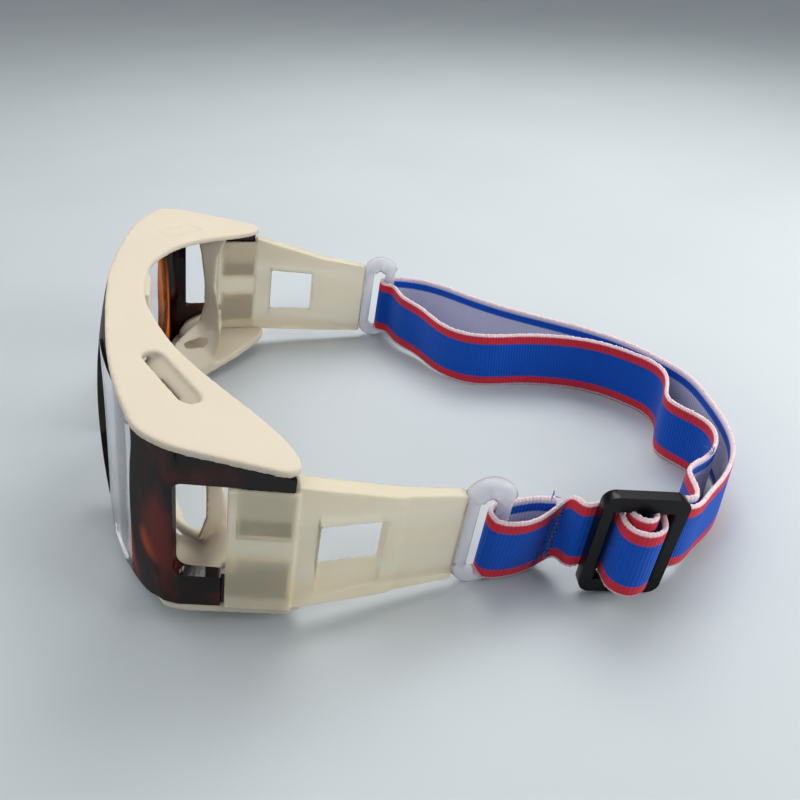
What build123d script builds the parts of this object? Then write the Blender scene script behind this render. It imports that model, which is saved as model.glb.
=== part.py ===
from build123d import *
from math import atan2, cos, degrees, radians, sin
import os

# Sports protective goggles, standing on the rim bottoms and the strap rings.
# Goggle axes before tipping: +X wearer's left, +Y towards the back of the head,
# +Z up.  All lengths in millimetres.

# ---- stance ----
tip_back = 8.52                 # the goggles lean back by this angle
drop = 1.49                     # lifts the tipped goggles onto the table plane
origin_x = 4.582                # middle of the overall box, moved to the origin
origin_y = 79.899

# ---- front frame ----
front_radius = 130.0            # plan radius of the front face
front_apex = -11.3              # foremost point of the front face
front_depth = 6.0               # thickness of the front, fore and aft
bulge_radius = 150.0            # the front face also rolls off up and down
bulge_height = 26.0             # height of the roundest part of the face
rolling_stock = 1.0             # extra depth the rolled face is shaped out of
corner_start = (56.0, 0.8)      # where the front face turns into the corner
corner_middle = (63.7, 4.9)
corner_end = (68.2, 11.0)
rail_end = (71.95, 34.6)        # rear end of the side rails, outer face
rail_wall = 2.8                 # wall thickness of the side rails
rail_bottom = 11.0
window_front = 10.0
window_bottom = 20.0
window_top = 45.6
plate_front = 23.6              # clip plates behind the side window
plate_wall = 1.2
plate_recess = 1.25             # clip plates stand this far inside the rail face
lower_plate_top = 24.0
upper_plate_bottom = 32.0

# ---- brow shelf: almost flat sheet that falls towards the back ----
shelf_height = 58.9
shelf_slope = 0.18
shelf_crown = 1900.0            # the sheet droops by x*x/shelf_crown sideways
shelf_wall = 1.9
shelf_reach = -7.5              # foremost point of the shelf

# ---- lenses ----
lens_wall = 2.2
lens_front_radius = 128.4
lens_lip = 1.2                  # how far a lens reaches into its groove
groove_play = 0.05

# ---- liner ----
flange_bottom = 8.2

# ---- temple arms ----
sleeve_front = 21.0
sleeve_back = 35.6
sleeve_bottom = 11.2
sleeve_top = 45.3
sleeve_wall = 1.2
sleeve_play = 0.75              # room round the clip plates for the flexing arm
arm_end = 75.5
arm_window = (41.0, 56.0)       # fore and aft edges
arm_window_top = 35.0
arm_window_sill = (21.0, 15.5)  # sill height on the inner and outer face

# ---- strap rings ----
ring_x = 65.9
ring_wall = 3.2
ring_back = 87.0
ring_bottom = 10.85
ring_top = 42.6
ring_corner = 5.0
slot_front = 79.6
slot_back = 83.4
slot_bottom = 14.2
slot_top = 36.4

# ---- elastic webbing ----
webbing_width = 20.0
webbing_wall = 1.3
webbing_sections = 3            # cross-sections from one station to the next

# ---- slider ----
slider_centre = (77.0, 118.0, 15.9)
slider_heading = 9.0            # turned from +Y towards +X
slider_tip = 6.0
slider_length = 20.5
slider_height = 30.0
slider_wall = 3.0
slider_end_bar = 3.6
slider_middle_bar = 3.3
slider_slot_height = 21.6
slider_bar_round = 1.1


def both_sides(half):
    """The shape together with its mirror image across the middle plane."""
    return half + mirror(half, about=Plane.YZ)


def facing_front(y):
    """Upright drawing plane at a depth; sketch X is X, sketch Y is Z."""
    return Plane(origin=(0, y, 0), x_dir=(1, 0, 0), z_dir=(0, -1, 0))


def facing_left(x):
    """Upright drawing plane at a distance from the middle; sketch X is Y, sketch Y is Z."""
    return Plane(origin=(x, 0, 0), x_dir=(0, 1, 0), z_dir=(1, 0, 0))


def plan_prism(outline, bottom, top):
    """Upright prism over a closed outline in the XY plane."""
    return extrude(Plane.XY.offset(bottom) * make_face(outline), amount=top - bottom)


def front_prism(face):
    """Prism that runs fore and aft through the whole front over a face drawn in X and Z."""
    return extrude(facing_front(60) * face, amount=120)


def side_prism(outline, start, end):
    """Prism along X over a closed outline drawn in Y and Z."""
    return extrude(facing_left(start) * make_face(outline), amount=end - start)


def sloped_band(bottom_shift, top_shift):
    """Layer parallel to the brow shelf, between two offsets from its underside."""
    half_span = 90.0
    start = -40.0
    rise = shelf_height - shelf_slope * (start - shelf_reach)
    droop = half_span ** 2 / shelf_crown
    lower = ThreePointArc(
        (-half_span, rise - droop + bottom_shift),
        (0, rise + bottom_shift),
        (half_span, rise - droop + bottom_shift),
    )
    upper = ThreePointArc(
        (-half_span, rise - droop + top_shift),
        (0, rise + top_shift),
        (half_span, rise - droop + top_shift),
    )
    sides = Line(lower @ 0, upper @ 0) + Line(lower @ 1, upper @ 1)
    along = Vector(0, 1, -shelf_slope)
    band = make_face(lower + upper + sides)
    return extrude(facing_front(start) * band, amount=120, dir=along)


def front_sag(x):
    """How far the front face has fallen back at a distance from the middle."""
    return x * x / (2 * front_radius)


def frame_plan():
    """Half outline of the frame seen from above: front, corner and side wall."""
    blank_apex = front_apex - rolling_stock
    outer_front = ThreePointArc(
        (0, blank_apex), (30, blank_apex + front_sag(30)), corner_start
    )
    outer_corner = ThreePointArc(corner_start, corner_middle, corner_end)
    outer_side = Line(corner_end, rail_end)
    heading = atan2(rail_end[0] - corner_end[0], rail_end[1] - corner_end[1])
    inner_end = (rail_end[0] - rail_wall / cos(heading), rail_end[1])
    inner_start = (corner_end[0] - rail_wall, corner_end[1] + 3)
    rear_edge = Line(rail_end, inner_end)
    inner_side = Line(inner_end, inner_start)
    inner_apex = front_apex + front_depth
    inner_front_end = (52, inner_apex + front_sag(52))
    inner_corner = ThreePointArc(inner_start, (62.3, 8.9), inner_front_end)
    inner_front = ThreePointArc(
        inner_front_end, (30, inner_apex + front_sag(30)), (0, inner_apex)
    )
    middle = Line((0, inner_apex), (0, blank_apex))
    return (
        outer_front + outer_corner + outer_side + rear_edge
        + inner_side + inner_corner + inner_front + middle
    )


def face_envelope():
    """Round body whose skin is the rolled front face of the frame."""
    axis_y = front_apex + front_radius
    low, high = -20.0, 80.0
    fall_low = (low - bulge_height) ** 2 / (2 * bulge_radius)
    fall_high = (high - bulge_height) ** 2 / (2 * bulge_radius)
    skin = ThreePointArc(
        (front_radius - fall_low, low),
        (front_radius, bulge_height),
        (front_radius - fall_high, high),
    )
    closing = Polyline(skin @ 1, (0, high), (0, low), skin @ 0)
    half_section = facing_front(axis_y) * make_face(skin + closing)
    return revolve(half_section, Axis((0, axis_y, 0), (0, 0, 1)))


def frame_silhouette():
    """Half outline of the frame seen from the front; the lower edge is the shaped one."""
    nose_and_rim = Spline(
        (0, 31), (5.5, 28), (9, 18), (12.5, 7), (18, 0.6), (26, -1.4), (36, -1.55),
        (46, 0), (54, 3.2), (60, 6.4), (66, rail_bottom - 0.6), (71, rail_bottom),
    )
    closing = Polyline((71, rail_bottom), (80, rail_bottom), (80, 80), (0, 80), (0, 31))
    return make_face(nose_and_rim + closing)


def lens_outline():
    """Lens opening seen from the front, drawn for the wearer's left eye."""
    corners = (
        ((9.0, 50.5), 12), ((52.5, 50.8), 8), ((54.5, 22), 40),
        ((49.0, 2.0), 10), ((22.0, 1.6), 14), ((12.0, 18.0), 30),
    )
    face = make_face(Polyline(*[corner for corner, _ in corners], close=True))
    for corner, radius in corners:
        sharp = face.vertices().sort_by_distance((*corner, 0))[0]
        face = fillet(sharp, radius)
    return face


def curved_layer(inner_radius, outer_radius):
    """Upright cylindrical layer that follows the curve of the front."""
    axis = Pos(0, front_apex + front_radius, 0)
    height = 160
    return axis * Cylinder(outer_radius, height) - axis * Cylinder(inner_radius, height)


def lens_blank(growth, layer_play):
    prism = front_prism(offset(lens_outline(), amount=growth))
    back_radius = lens_front_radius - lens_wall
    layer = curved_layer(back_radius - layer_play, lens_front_radius + layer_play)
    return (prism & layer).solids().sort_by(Axis.Y)[0]


def make_lens():
    return lens_blank(lens_lip, 0)


def side_frame():
    """Placement whose +Y runs along the side rail and +X points outwards from it."""
    heading = degrees(atan2(rail_end[0] - corner_end[0], rail_end[1] - corner_end[1]))
    return Pos(corner_end[0], corner_end[1], 0) * Rot(Z=-heading)


def along_rail(y):
    """Distance along the side rail at a fore-and-aft position."""
    heading = atan2(rail_end[0] - corner_end[0], rail_end[1] - corner_end[1])
    return (y - corner_end[1]) / cos(heading)


def rail_box(inner, outer, front, back, bottom, top):
    """Box along the side rail; inner and outer count from the rail's outer face."""
    size = (outer - inner, along_rail(back) - along_rail(front), top - bottom)
    corner = Box(*size, align=(Align.MIN, Align.MIN, Align.MIN))
    return side_frame() * Pos(inner, along_rail(front), bottom) * corner


def window_cut():
    """Side window, clip plate gap and the thinning of the clip plates."""
    far = 8.0
    back = rail_end[1] + 3
    skin_front = sleeve_front - 0.9
    skin_bottom = rail_bottom - 3
    window = rail_box(-far, far, window_front, plate_front, window_bottom, window_top)
    front_edges = window.edges().filter_by(Axis.X, tolerance=12).group_by(Axis.Y)[0]
    window = fillet(front_edges, radius=2)
    gap = rail_box(-far, far, plate_front - 2, back, lower_plate_top, upper_plate_bottom)
    outer_skin = rail_box(-plate_recess, far, skin_front, back, skin_bottom, window_top)
    inner_face = -plate_recess - plate_wall
    inner_skin = rail_box(-far, inner_face, skin_front, back, skin_bottom, window_top)
    return window + gap + outer_skin + inner_skin


def make_front_frame():
    body = plan_prism(frame_plan(), -10, 75)
    body = body & front_prism(frame_silhouette())
    body = body & face_envelope()
    body = body & sloped_band(-90, 0)
    body = body - front_prism(lens_outline())
    body = body - lens_blank(lens_lip + groove_play, groove_play)
    body = body - window_cut()
    return both_sides(body)


def shelf_outline():
    """Half outline of the brow shelf seen from above."""
    front = Spline((0, shelf_reach), (25, -6), (46, -3), (57.5, 0.2), tangents=((1, 0), (3, 1)))
    corner = Spline(
        (57.5, 0.2), (64, 3), (68, 9), (69.3, 14.5), tangents=((3, 1), (0.16, 1))
    )
    side = Line((69.3, 14.5), (71.9, 31.5))
    tail = Spline((71.9, 31.5), (70, 35.5), (66, 35.3), tangents=((0.1, 1), (-1, -0.35)))
    rear = Spline(
        (66, 35.3), (57, 30), (43, 18), (30, 9), (17.5, 4), (0, 1.6),
        tangents=((-1, -0.35), (-1, 0)),
    )
    return front + corner + side + tail + rear + Line((0, 1.6), (0, shelf_reach))


def vent_slot():
    """Slanted oval vent through the brow shelf."""
    slot = extrude(SlotOverall(20, 5.2), amount=40)
    return Pos(44.5, 9.3, 35) * Rot(Z=31) * slot


def quad(near_edge, far_edge, wall):
    """Thin parallelogram section between two edge points, thickened along a vector."""
    corners = (
        near_edge,
        tuple(a + b for a, b in zip(near_edge, wall)),
        tuple(a + b for a, b in zip(far_edge, wall)),
        far_edge,
    )
    return Polyline(*corners, close=True)


def cheek_pad():
    """Post behind the side window that turns into the cheek and nose pad."""
    sections = (
        ((57.5, 13.5, 56.0), (55.0, 25.0, 54.0), (-3.0, 0, 0)),
        ((57.5, 15.8, 45.0), (56.0, 21.4, 44.0), (-2.8, 0, 0)),
        ((57.5, 17.0, 34.0), (55.5, 20.6, 34.0), (-2.6, 0, 0)),
        ((57.5, 16.8, 25.5), (52.7, 21.6, 25.5), (-2.0, 0.4, 0.8)),
        ((56.5, 15.0, 18.6), (48.5, 22.6, 16.0), (-1.2, 0.5, 1.6)),
        ((50.4, 11.0, 16.6), (46.6, 20.5, 6.2), (-0.4, 0.8, 2.1)),
        ((44.0, 7.5, 15.6), (41.0, 13.0, 4.0), (0, 0.9, 2.0)),
        ((34.0, 5.0, 16.6), (31.0, 9.5, 6.0), (0, 0.9, 2.0)),
        ((23.0, 2.6, 21.5), (21.5, 6.4, 13.0), (-0.8, 0.8, 1.9)),
        ((15.6, 0.9, 32.7), (12.4, 4.2, 26.5), (-1.4, 0.8, 1.3)),
        ((6.3, -1.1, 40.0), (5.3, 3.4, 35.0), (-0.4, 0.8, 2.1)),
    )
    wires = [quad(*section) for section in sections]
    return loft([make_face(wire) for wire in wires], ruled=True)


def pad_slot():
    """Slanted relief slot through the lower part of the cheek pad."""
    slot = extrude(SlotOverall(11.0, 3.2), amount=15.5)
    return Pos(48.4, 14.0, 0) * Rot(Z=58) * slot


def pad_side():
    """Sheet from the cheek pad out to the side rail, rising towards the back."""
    outline = Polyline(
        (50, 11), (58, 8.5), (66.5, 12.5), (67, 19.5), (63.8, 19.8), (63.5, 22.5),
        (50, 22.5), close=True,
    )
    slope = Polyline(
        (8.5, 11.4), (19, 16.2), (22.5, 17.2), (22.5, 19.2), (19, 18.2), (8.5, 13.4),
        close=True,
    )
    return plan_prism(outline, 10, 20) & side_prism(slope, 50, 68)


def flange():
    """Lower flange: level under the side rail, falling towards the nose."""
    outline = Polyline(
        (30, -2), (56, 1.5), (62.5, 4.0), (66.3, 7.6), (68.0, 12), (71.4, 35.5),
        (69.6, 38.6), (66.5, 38.9), (61, 37.2), (51.3, 27.7), (43.2, 16.8),
        (38, 10.5), (30, 6), close=True,
    )
    underside = ((30, 0.8), (36, 1.2), (43.2, 3.0), (51.3, 6.0), (60, flange_bottom))
    upper_side = [(x, z + rail_bottom - flange_bottom) for x, z in reversed(underside)]
    band = Polyline(
        *underside, (75, flange_bottom), (75, rail_bottom), *upper_side, close=True
    )
    return plan_prism(outline, 0, 12) & front_prism(make_face(band)) & face_envelope()


def nose_web():
    """Web between the brow shelf and the nose saddle."""
    block = Pos(0, 0.4, 47) * Box(12, 4.6, 26)
    return block & sloped_band(-40, 0.5)


def make_face_liner(frame_body):
    shelf = plan_prism(shelf_outline(), 30, 75) & sloped_band(0, shelf_wall)
    shelf = shelf - vent_slot()
    pad = (cheek_pad() & sloped_band(-90, shelf_wall / 2)) + pad_side() - pad_slot()
    saddle_arch = Pos(0, 1.7, 38.4) * Box(12, 4.6, 3.0)
    half = shelf + pad + flange()
    body = both_sides(half) + nose_web() + saddle_arch
    lens_room = both_sides(lens_blank(lens_lip + groove_play, groove_play))
    return (body - frame_body - lens_room).solids().sort_by(SortBy.VOLUME)[-1]


def arm_plan():
    """Outline of the arm behind the clip, seen from above."""
    return Polyline(
        (72.0, sleeve_back - 0.4), (70.0, 58.2), (69.2, 60.4), (67.5, arm_end),
        (64.3, arm_end), (65.4, 58), (67.2, sleeve_back - 0.4), close=True,
    )


def arm_side():
    """Outline of the arm behind the clip, seen from the side."""
    return Polyline(
        (sleeve_back - 0.4, 46.8), (47, 44.1), (60, 41.3), (arm_end - 1.6, 39.8),
        (arm_end, 38.6), (arm_end, 13.1), (59, 12.1), (38, sleeve_bottom),
        (sleeve_back - 0.4, sleeve_bottom), close=True,
    )


def arm_window_cut():
    """Window whose sill slopes down to the outside."""
    inner_sill, outer_sill = arm_window_sill
    outline = Polyline(
        (58, arm_window_top), (80, arm_window_top), (80, outer_sill - 6),
        (71, outer_sill), (66.4, inner_sill), (58, inner_sill), close=True,
    )
    front, back = arm_window
    return extrude(facing_front(back) * make_face(outline), amount=back - front)


def clip_sleeve():
    """Double-walled clip that slips over the frame's clip plates."""
    outer_start = -plate_recess + sleeve_play
    outer_end = outer_start + sleeve_wall
    inner_end = -plate_recess - plate_wall - sleeve_play
    inner_start = inner_end - sleeve_wall
    heights = (sleeve_bottom, sleeve_top)
    outer_wall = rail_box(outer_start, outer_end, sleeve_front, sleeve_back, *heights)
    inner_wall = rail_box(inner_start, inner_end, sleeve_front, sleeve_back, *heights)
    lip = rail_box(
        inner_start, outer_end, sleeve_front, plate_front - sleeve_play,
        window_bottom + 1.2, sleeve_top,
    )
    rib = rail_box(
        inner_start, outer_end, sleeve_front + 1, sleeve_back,
        lower_plate_top + 1, upper_plate_bottom - 1,
    )
    return outer_wall + inner_wall + lip + rib


def make_temple_arm():
    blade = plan_prism(arm_plan(), 0, 60) & side_prism(arm_side(), 55, 80)
    blade = blade - arm_window_cut()
    return blade + clip_sleeve()


def make_strap_ring():
    height = ring_top - ring_bottom
    depth = ring_back - arm_end
    outline = Pos((arm_end + ring_back) / 2, (ring_top + ring_bottom) / 2) * (
        RectangleRounded(depth, height, ring_corner)
    )
    slot = Pos((slot_front + slot_back) / 2, (slot_top + slot_bottom) / 2) * (
        RectangleRounded(slot_back - slot_front, slot_top - slot_bottom, 1.2)
    )
    ring = extrude(facing_left(ring_x - ring_wall / 2) * (outline - slot), amount=ring_wall)
    return fillet(ring.edges().filter_by(lambda e: e.length > 12), radius=0.9)


def slider_placement():
    turned = Rot(Z=-slider_heading) * Rot(X=-slider_tip)
    return Pos(*slider_centre) * turned


def make_strap_slider():
    plate = Box(slider_wall, slider_length, slider_height)
    plate = fillet(plate.edges().filter_by(Axis.X), radius=3)
    slot_length = (slider_length - slider_middle_bar) / 2 - slider_end_bar
    reach = (slider_middle_bar + slot_length) / 2
    for side in (-1, 1):
        plate = plate - Pos(0, side * reach, 0) * Box(10, slot_length, slider_slot_height)
    slot_edges = plate.edges().filter_by(Axis.Z).filter_by(
        lambda edge: abs(edge.center().Y) < slider_length / 2 - 1
    )
    return slider_placement() * fillet(slot_edges, radius=slider_bar_round)


def slider_station(outward, along):
    """Webbing station given in the slider's own directions."""
    heading = radians(slider_heading)
    return (
        slider_centre[0] + outward * cos(heading) + along * sin(heading),
        slider_centre[1] - outward * sin(heading) + along * cos(heading),
        slider_centre[2] - along * sin(radians(slider_tip)),
        slider_tip,
        slider_heading,
    )


def ring_station(side, outward, behind):
    """Webbing station beside the rear bar of a strap ring, in table axes."""
    tip = radians(tip_back)
    bar_y = (slot_back + ring_back) / 2
    bar_z = (slot_bottom + slot_top) / 2
    return (
        side * (ring_x + outward),
        bar_y * cos(tip) + bar_z * sin(tip) + behind,
        bar_z * cos(tip) - bar_y * sin(tip) + drop - behind * sin(tip),
        tip_back,
        0,
    )


def webbing_route():
    """Stations along the single length of webbing.

    Each is x, y, middle height, lean and the heading the upper edge leans towards.
    """
    lying = webbing_width / 2 + 0.35
    near_loop = [
        ring_station(1, -1.9, 14.5), ring_station(1, -2.5, 9.0), ring_station(1, -2.65, 3.5),
        ring_station(1, -2.55, 0), ring_station(1, -1.75, -2.2), ring_station(1, 0, -2.9),
        ring_station(1, 1.75, -2.2), ring_station(1, 2.55, 0), ring_station(1, 2.7, 3.5),
        ring_station(1, 1.7, 8.5), ring_station(1, -0.1, 13.6),
        (67.8, 105.2, 15.2, 8, 2), (72.2, 106.4, 16.8, 7, 6),
    ]
    over_slider = [
        slider_station(-2.7, -9.6), slider_station(-2.55, -7.2), slider_station(-2.1, -5.6),
        slider_station(0, -4.6), slider_station(3.0, -3.5), slider_station(4.1, 0),
        slider_station(3.0, 3.5), slider_station(0, 4.6), slider_station(-2.1, 5.6),
        slider_station(-2.55, 7.4), slider_station(-2.7, 10.0),
    ]
    outer_run = [
        (75.6, 132.5, 14.2, 5, 9), (70.6, 140.5, 12.2, 3, 0), (64.0, 149.5, lying, 0, 0),
        (55.0, 158.5, lying, 0, 0), (43.9, 163.8, lying, 0, 0), (30.0, 166.6, lying, 0, 0),
        (17.0, 167.4, lying, 0, 0), (5.0, 163.6, lying, 0, 0), (-7.0, 157.6, lying, 0, 0),
        (-25.0, 142.0, lying, 0, 0), (-37.0, 129.3, lying, 0, 0), (-50.0, 117.0, 10.7, 2, 0),
        (-62.0, 105.5, 11.6, 5, 0), (-67.6, 96.8, 12.4, 8, 0),
    ]
    far_loop = [
        ring_station(-1, 2.6, 3.0), ring_station(-1, 2.55, 0), ring_station(-1, 1.75, -2.2),
        ring_station(-1, 0, -2.9), ring_station(-1, -1.8, -2.2), ring_station(-1, -3.0, 0),
    ]
    inner_run = [
        (-59.5, 89.6, 13.2, 8, 0), (-53.0, 91.0, 12.6, 6, 0), (-45.5, 95.2, 11.8, 4, 0),
        (-33.5, 99.8, 11.0, 2, 0), (-25.5, 105.5, lying, 0, 0), (-21.0, 113.0, lying, 0, 0),
        (-19.0, 124.0, lying, 0, 0), (-15.0, 138.0, lying, 0, 0), (-8.2, 149.5, lying, 0, 0),
        (0.5, 157.0, lying, 0, 0), (10.5, 161.5, lying, 0, 0), (19.0, 159.2, lying, 0, 0),
        (28.0, 154.8, lying, 0, 0), (40.0, 159.3, lying, 0, 0), (49.5, 156.8, lying, 0, 0),
        (55.5, 149.5, lying, 0, 0), (61.0, 141.0, 12.0, 3, 0),
    ]
    sewn_loop = [
        slider_station(-6.3, 15.0), slider_station(-6.2, 8.5), slider_station(-5.4, 4.2),
        slider_station(-3.7, 1.2), slider_station(-2.6, -0.3), slider_station(-1.9, -2.1),
        slider_station(0, -2.8), slider_station(1.9, -2.1), slider_station(2.55, 0),
        slider_station(1.8, 2.1), slider_station(0, 2.85), slider_station(-1.9, 3.1),
        slider_station(-3.6, 4.4), slider_station(-4.4, 7.5), slider_station(-4.6, 12.0),
    ]
    return near_loop + over_slider + outer_run + far_loop + inner_run + sewn_loop


def webbing_edges(middle, places, stations):
    """The four long edges of the webbing: two faces, lower and upper selvedge."""
    corners = {(side, level): [] for side in (-1, 1) for level in (-1, 1)}
    for place, station in zip(places, stations):
        here = Vector(*station[:3])
        along = middle.tangent_at(place)
        across = Vector(along.Y, -along.X, 0).normalized() * (webbing_wall / 2)
        lean = radians(station[3])
        towards = radians(station[4])
        sideways = Vector(sin(towards), cos(towards), 0) * sin(lean)
        upright = (sideways + Vector(0, 0, cos(lean))) * (webbing_width / 2)
        for side in (-1, 1):
            for level in (-1, 1):
                corners[side, level].append(here + across * side + upright * level)
    knots = [place * middle.length for place in places]
    return {
        key: Edge.make_spline(points, parameters=knots) for key, points in corners.items()
    }


def webbing_section(edges, section_order, place):
    """Cross-section of the webbing at a share of its length."""
    points = [
        edges[key].position_at(place, position_mode=PositionMode.PARAMETER)
        for key in section_order
    ]
    return Wire.make_polygon(points, close=True)


def make_elastic_strap():
    stations = webbing_route()
    middle = Edge.make_spline([station[:3] for station in stations])
    places = [middle.param_at_point(Vector(*station[:3])) for station in stations]
    places[0] = 0.0
    places[-1] = 1.0
    edges = webbing_edges(middle, places, stations)
    section_order = [(-1, -1), (-1, 1), (1, 1), (1, -1)]
    sections = []
    for start, end in zip(places[:-1], places[1:]):
        for step in range(webbing_sections):
            place = start + (end - start) * step / webbing_sections
            sections.append(webbing_section(edges, section_order, place))
    sections.append(webbing_section(edges, section_order, 1.0))
    return Solid.make_loft(sections, ruled=True)


def tip_goggles(shape):
    return Pos(-origin_x, -origin_y, drop) * Rot(X=-tip_back) * shape


def on_table(shape):
    return Pos(-origin_x, -origin_y, 0) * shape


def main():
    os.makedirs("parts", exist_ok=True)
    frame_body = make_front_frame()
    left_lens = make_lens()
    left_arm = make_temple_arm()
    left_ring = make_strap_ring()
    nodes = {
        "front_frame": tip_goggles(frame_body),
        "lens_left": tip_goggles(left_lens),
        "lens_right": tip_goggles(mirror(left_lens, about=Plane.YZ)),
        "face_liner": tip_goggles(make_face_liner(frame_body)),
        "temple_arm_left": tip_goggles(left_arm),
        "temple_arm_right": tip_goggles(mirror(left_arm, about=Plane.YZ)),
        "strap_ring_left": tip_goggles(left_ring),
        "strap_ring_right": tip_goggles(mirror(left_ring, about=Plane.YZ)),
        "elastic_strap": on_table(make_elastic_strap()),
        "strap_slider": on_table(make_strap_slider()),
    }
    for name, shape in nodes.items():
        export_step(shape, f"parts/{name}.step")


if __name__ == "__main__":
    main()
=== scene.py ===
import math
import random

import bpy
import numpy as np
from mathutils import Matrix, Vector


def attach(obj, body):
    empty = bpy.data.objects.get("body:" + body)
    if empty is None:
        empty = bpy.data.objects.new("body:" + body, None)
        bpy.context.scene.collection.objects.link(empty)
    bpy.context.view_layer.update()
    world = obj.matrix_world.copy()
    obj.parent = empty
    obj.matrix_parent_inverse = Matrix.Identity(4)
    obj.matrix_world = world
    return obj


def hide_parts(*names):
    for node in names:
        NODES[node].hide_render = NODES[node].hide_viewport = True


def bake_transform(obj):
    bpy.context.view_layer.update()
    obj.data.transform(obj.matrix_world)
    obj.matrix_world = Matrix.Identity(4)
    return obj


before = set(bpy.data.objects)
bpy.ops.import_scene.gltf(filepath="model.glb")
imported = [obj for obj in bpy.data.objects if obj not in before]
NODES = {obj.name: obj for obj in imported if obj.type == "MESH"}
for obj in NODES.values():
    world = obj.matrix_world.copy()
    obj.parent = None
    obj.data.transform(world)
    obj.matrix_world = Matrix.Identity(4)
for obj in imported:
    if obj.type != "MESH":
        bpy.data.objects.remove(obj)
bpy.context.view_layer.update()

# Sports goggles with an elastic head strap. Shapes are written in millimetres and turned
# into the row frame's metres by table_point and goggle_point.
random.seed(11)                       # for the loose thread ends
MM = 0.001
SCENE = bpy.context.scene

# ---- where the goggles stand, the same as in the CAD model ----
TIP_BACK = 8.52                       # degrees
DROP = 1.49                           # lift onto the table plane
ORIGIN = np.array([4.582, 79.899, 0.0])
COS_TIP = math.cos(math.radians(TIP_BACK))
SIN_TIP = math.sin(math.radians(TIP_BACK))


def table_point(x, y, z):
    """Point on the table plane's axes, millimetres, to the row frame in metres."""
    return (np.array([x, y, z], float) - ORIGIN) * MM


def goggle_point(x, y, z):
    """Point in the goggles' own level axes, millimetres, to the row frame in metres."""
    return table_point(x, COS_TIP * y + SIN_TIP * z, COS_TIP * z - SIN_TIP * y + DROP)


# =====================================================================
# materials
# =====================================================================
def new_material(name):
    """A material with an empty node tree, and that tree."""
    mat = bpy.data.materials.new(name)
    mat.use_nodes = True
    mat.node_tree.nodes.clear()
    return mat, mat.node_tree


def node(tree, kind, **values):
    """A node with its sockets, or else its settings, given by name."""
    made = tree.nodes.new(kind)
    for key, value in values.items():
        if key in made.inputs:
            made.inputs[key].default_value = value
        else:
            setattr(made, key, value)
    return made


def link(tree, a, b):
    tree.links.new(a, b)


def output(tree, shader):
    out = tree.nodes.new("ShaderNodeOutputMaterial")
    link(tree, shader, out.inputs["Surface"])


def ramp(tree, factor, stops):
    """Colour ramp from (place, colour) stops."""
    made = tree.nodes.new("ShaderNodeValToRGB")
    link(tree, factor, made.inputs["Fac"])
    elements = made.color_ramp.elements
    while len(elements) < len(stops):
        elements.new(0.5)
    for element, (place, color) in zip(elements, stops):
        element.position = place
        element.color = (*color, 1)
    return made.outputs["Color"]


def maths(tree, operation, a, b=None, c=None, clamp=False):
    made = tree.nodes.new("ShaderNodeMath")
    made.operation = operation
    made.use_clamp = clamp
    for socket, value in zip(made.inputs, (a, b, c)):
        if value is None:
            continue
        if isinstance(value, (int, float)):
            socket.default_value = value
        else:
            link(tree, value, socket)
    return made.outputs[0]


def mix_color(tree, factor, a, b, blend="MIX"):
    """Colour mix; factor, a and b are each a constant or another node's output."""
    made = tree.nodes.new("ShaderNodeMix")
    made.data_type = "RGBA"
    made.blend_type = blend
    factor_socket, first_color, second_color = (made.inputs[k] for k in (0, 6, 7))
    for socket, value in ((factor_socket, factor), (first_color, a), (second_color, b)):
        if isinstance(value, (int, float)):
            socket.default_value = value
        elif isinstance(value, tuple):
            socket.default_value = (*value, 1)
        else:
            link(tree, value, socket)
    return made.outputs[2]


def noise(tree, coords, scale, detail=3.0, roughness=0.55):
    made = node(tree, "ShaderNodeTexNoise", Scale=scale, Detail=detail, Roughness=roughness)
    link(tree, coords, made.inputs["Vector"])
    return made.outputs["Fac"]


def object_coords(tree):
    return tree.nodes.new("ShaderNodeTexCoord").outputs["Object"]


def bump(tree, height, strength, distance):
    made = node(tree, "ShaderNodeBump", Strength=strength, Distance=distance)
    link(tree, height, made.inputs["Height"])
    return made.outputs["Normal"]


def near_point(tree, coords, centre, size):
    """1 at a point, fading to 0 over an ellipsoid of the given half sizes, metres."""
    moved = node(tree, "ShaderNodeVectorMath", operation="SUBTRACT")
    link(tree, coords, moved.inputs[0])
    moved.inputs[1].default_value = tuple(centre)
    scaled = node(tree, "ShaderNodeVectorMath", operation="DIVIDE")
    link(tree, moved.outputs[0], scaled.inputs[0])
    scaled.inputs[1].default_value = tuple(size)
    length = node(tree, "ShaderNodeVectorMath", operation="LENGTH")
    link(tree, scaled.outputs[0], length.inputs[0])
    return maths(tree, "SUBTRACT", 1.0, length.outputs["Value"], clamp=True)


TORTOISE_PATCHES = [
    (0.0, (0.004, 0.0018, 0.0014)), (0.48, (0.006, 0.002, 0.0015)),
    (0.58, (0.020, 0.003, 0.002)), (0.72, (0.060, 0.007, 0.003)),
]
# amber places in the plastic: centre, half sizes in metres, colour
TORTOISE_GLOWS = (
    (goggle_point(63.3, 4.8, 24.8), (0.0058, 0.006, 0.0050), (0.30, 0.035, 0.005)),
    (goggle_point(64.0, 5.5, 31.0), (0.0045, 0.006, 0.010), (0.07, 0.006, 0.003)),
    (goggle_point(-52.5, 3.0, 30.0), (0.0042, 0.0042, 0.034), (0.85, 0.22, 0.04)),
    (goggle_point(52.0, -1.5, 26.0), (0.0035, 0.004, 0.03), (0.30, 0.02, 0.008)),
    (goggle_point(66.0, 7.5, 30.0), (0.004, 0.004, 0.018), (0.10, 0.008, 0.005)),
)
GLOW_IN_DARK_PATCHES = 0.45           # how much a glow keeps where the patches are dark
GLOW_GAIN = 1.7
POLISH_SHARE = 0.035                  # share of clear gloss over the coloured body


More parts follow.
